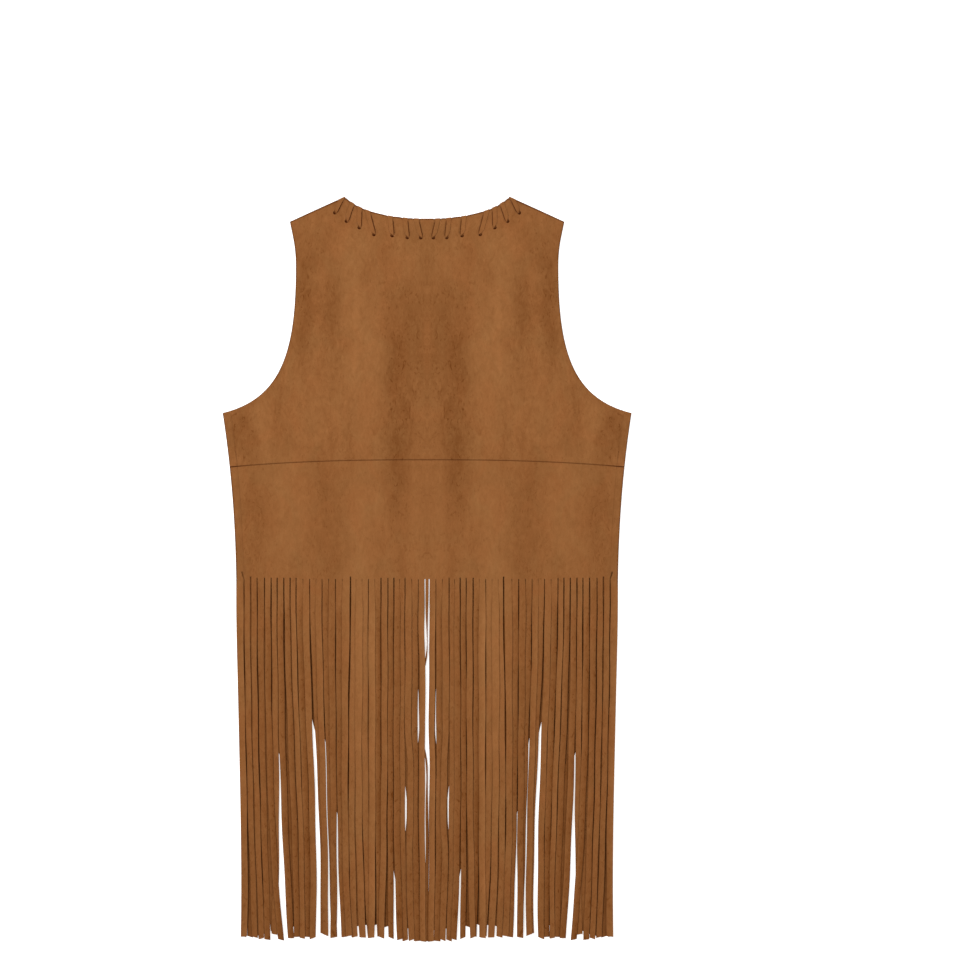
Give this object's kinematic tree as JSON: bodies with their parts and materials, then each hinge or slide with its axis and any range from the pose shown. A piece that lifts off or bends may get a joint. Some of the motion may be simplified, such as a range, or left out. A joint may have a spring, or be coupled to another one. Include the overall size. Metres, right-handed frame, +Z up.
{
  "type": "fringed western vest laid flat",
  "caption": "Sleeveless faux suede vest laid flat with its back up: bowed cross seam, deep cut fringe at the hem and a flat thong whip-stitched round the back neck.",
  "frame": {"origin": "on the surface that the vest lies on, under the middle of its box", "axes": "+Z up from the surface, +Y from the fringe to the neck, +X to the wearer's right as the back is seen from above"},
  "size_m": [0.5112, 0.9307, 0.007],
  "materials": {
    "suede": "short brushed nap, matte tan",
    "fringe": "short brushed nap with cut edges, matte tan",
    "thong": "narrow cut strip of the same suede, matte"
  },
  "bodies": {
    "root": {"back_upper": "suede", "back_lower": "suede", "back_fringe": "fringe", "front_left": "suede", "front_right": "suede", "front_fringe_left": "fringe", "front_fringe_right": "fringe", "neck_lacing": "thong"}
  },
  "joints": []
}
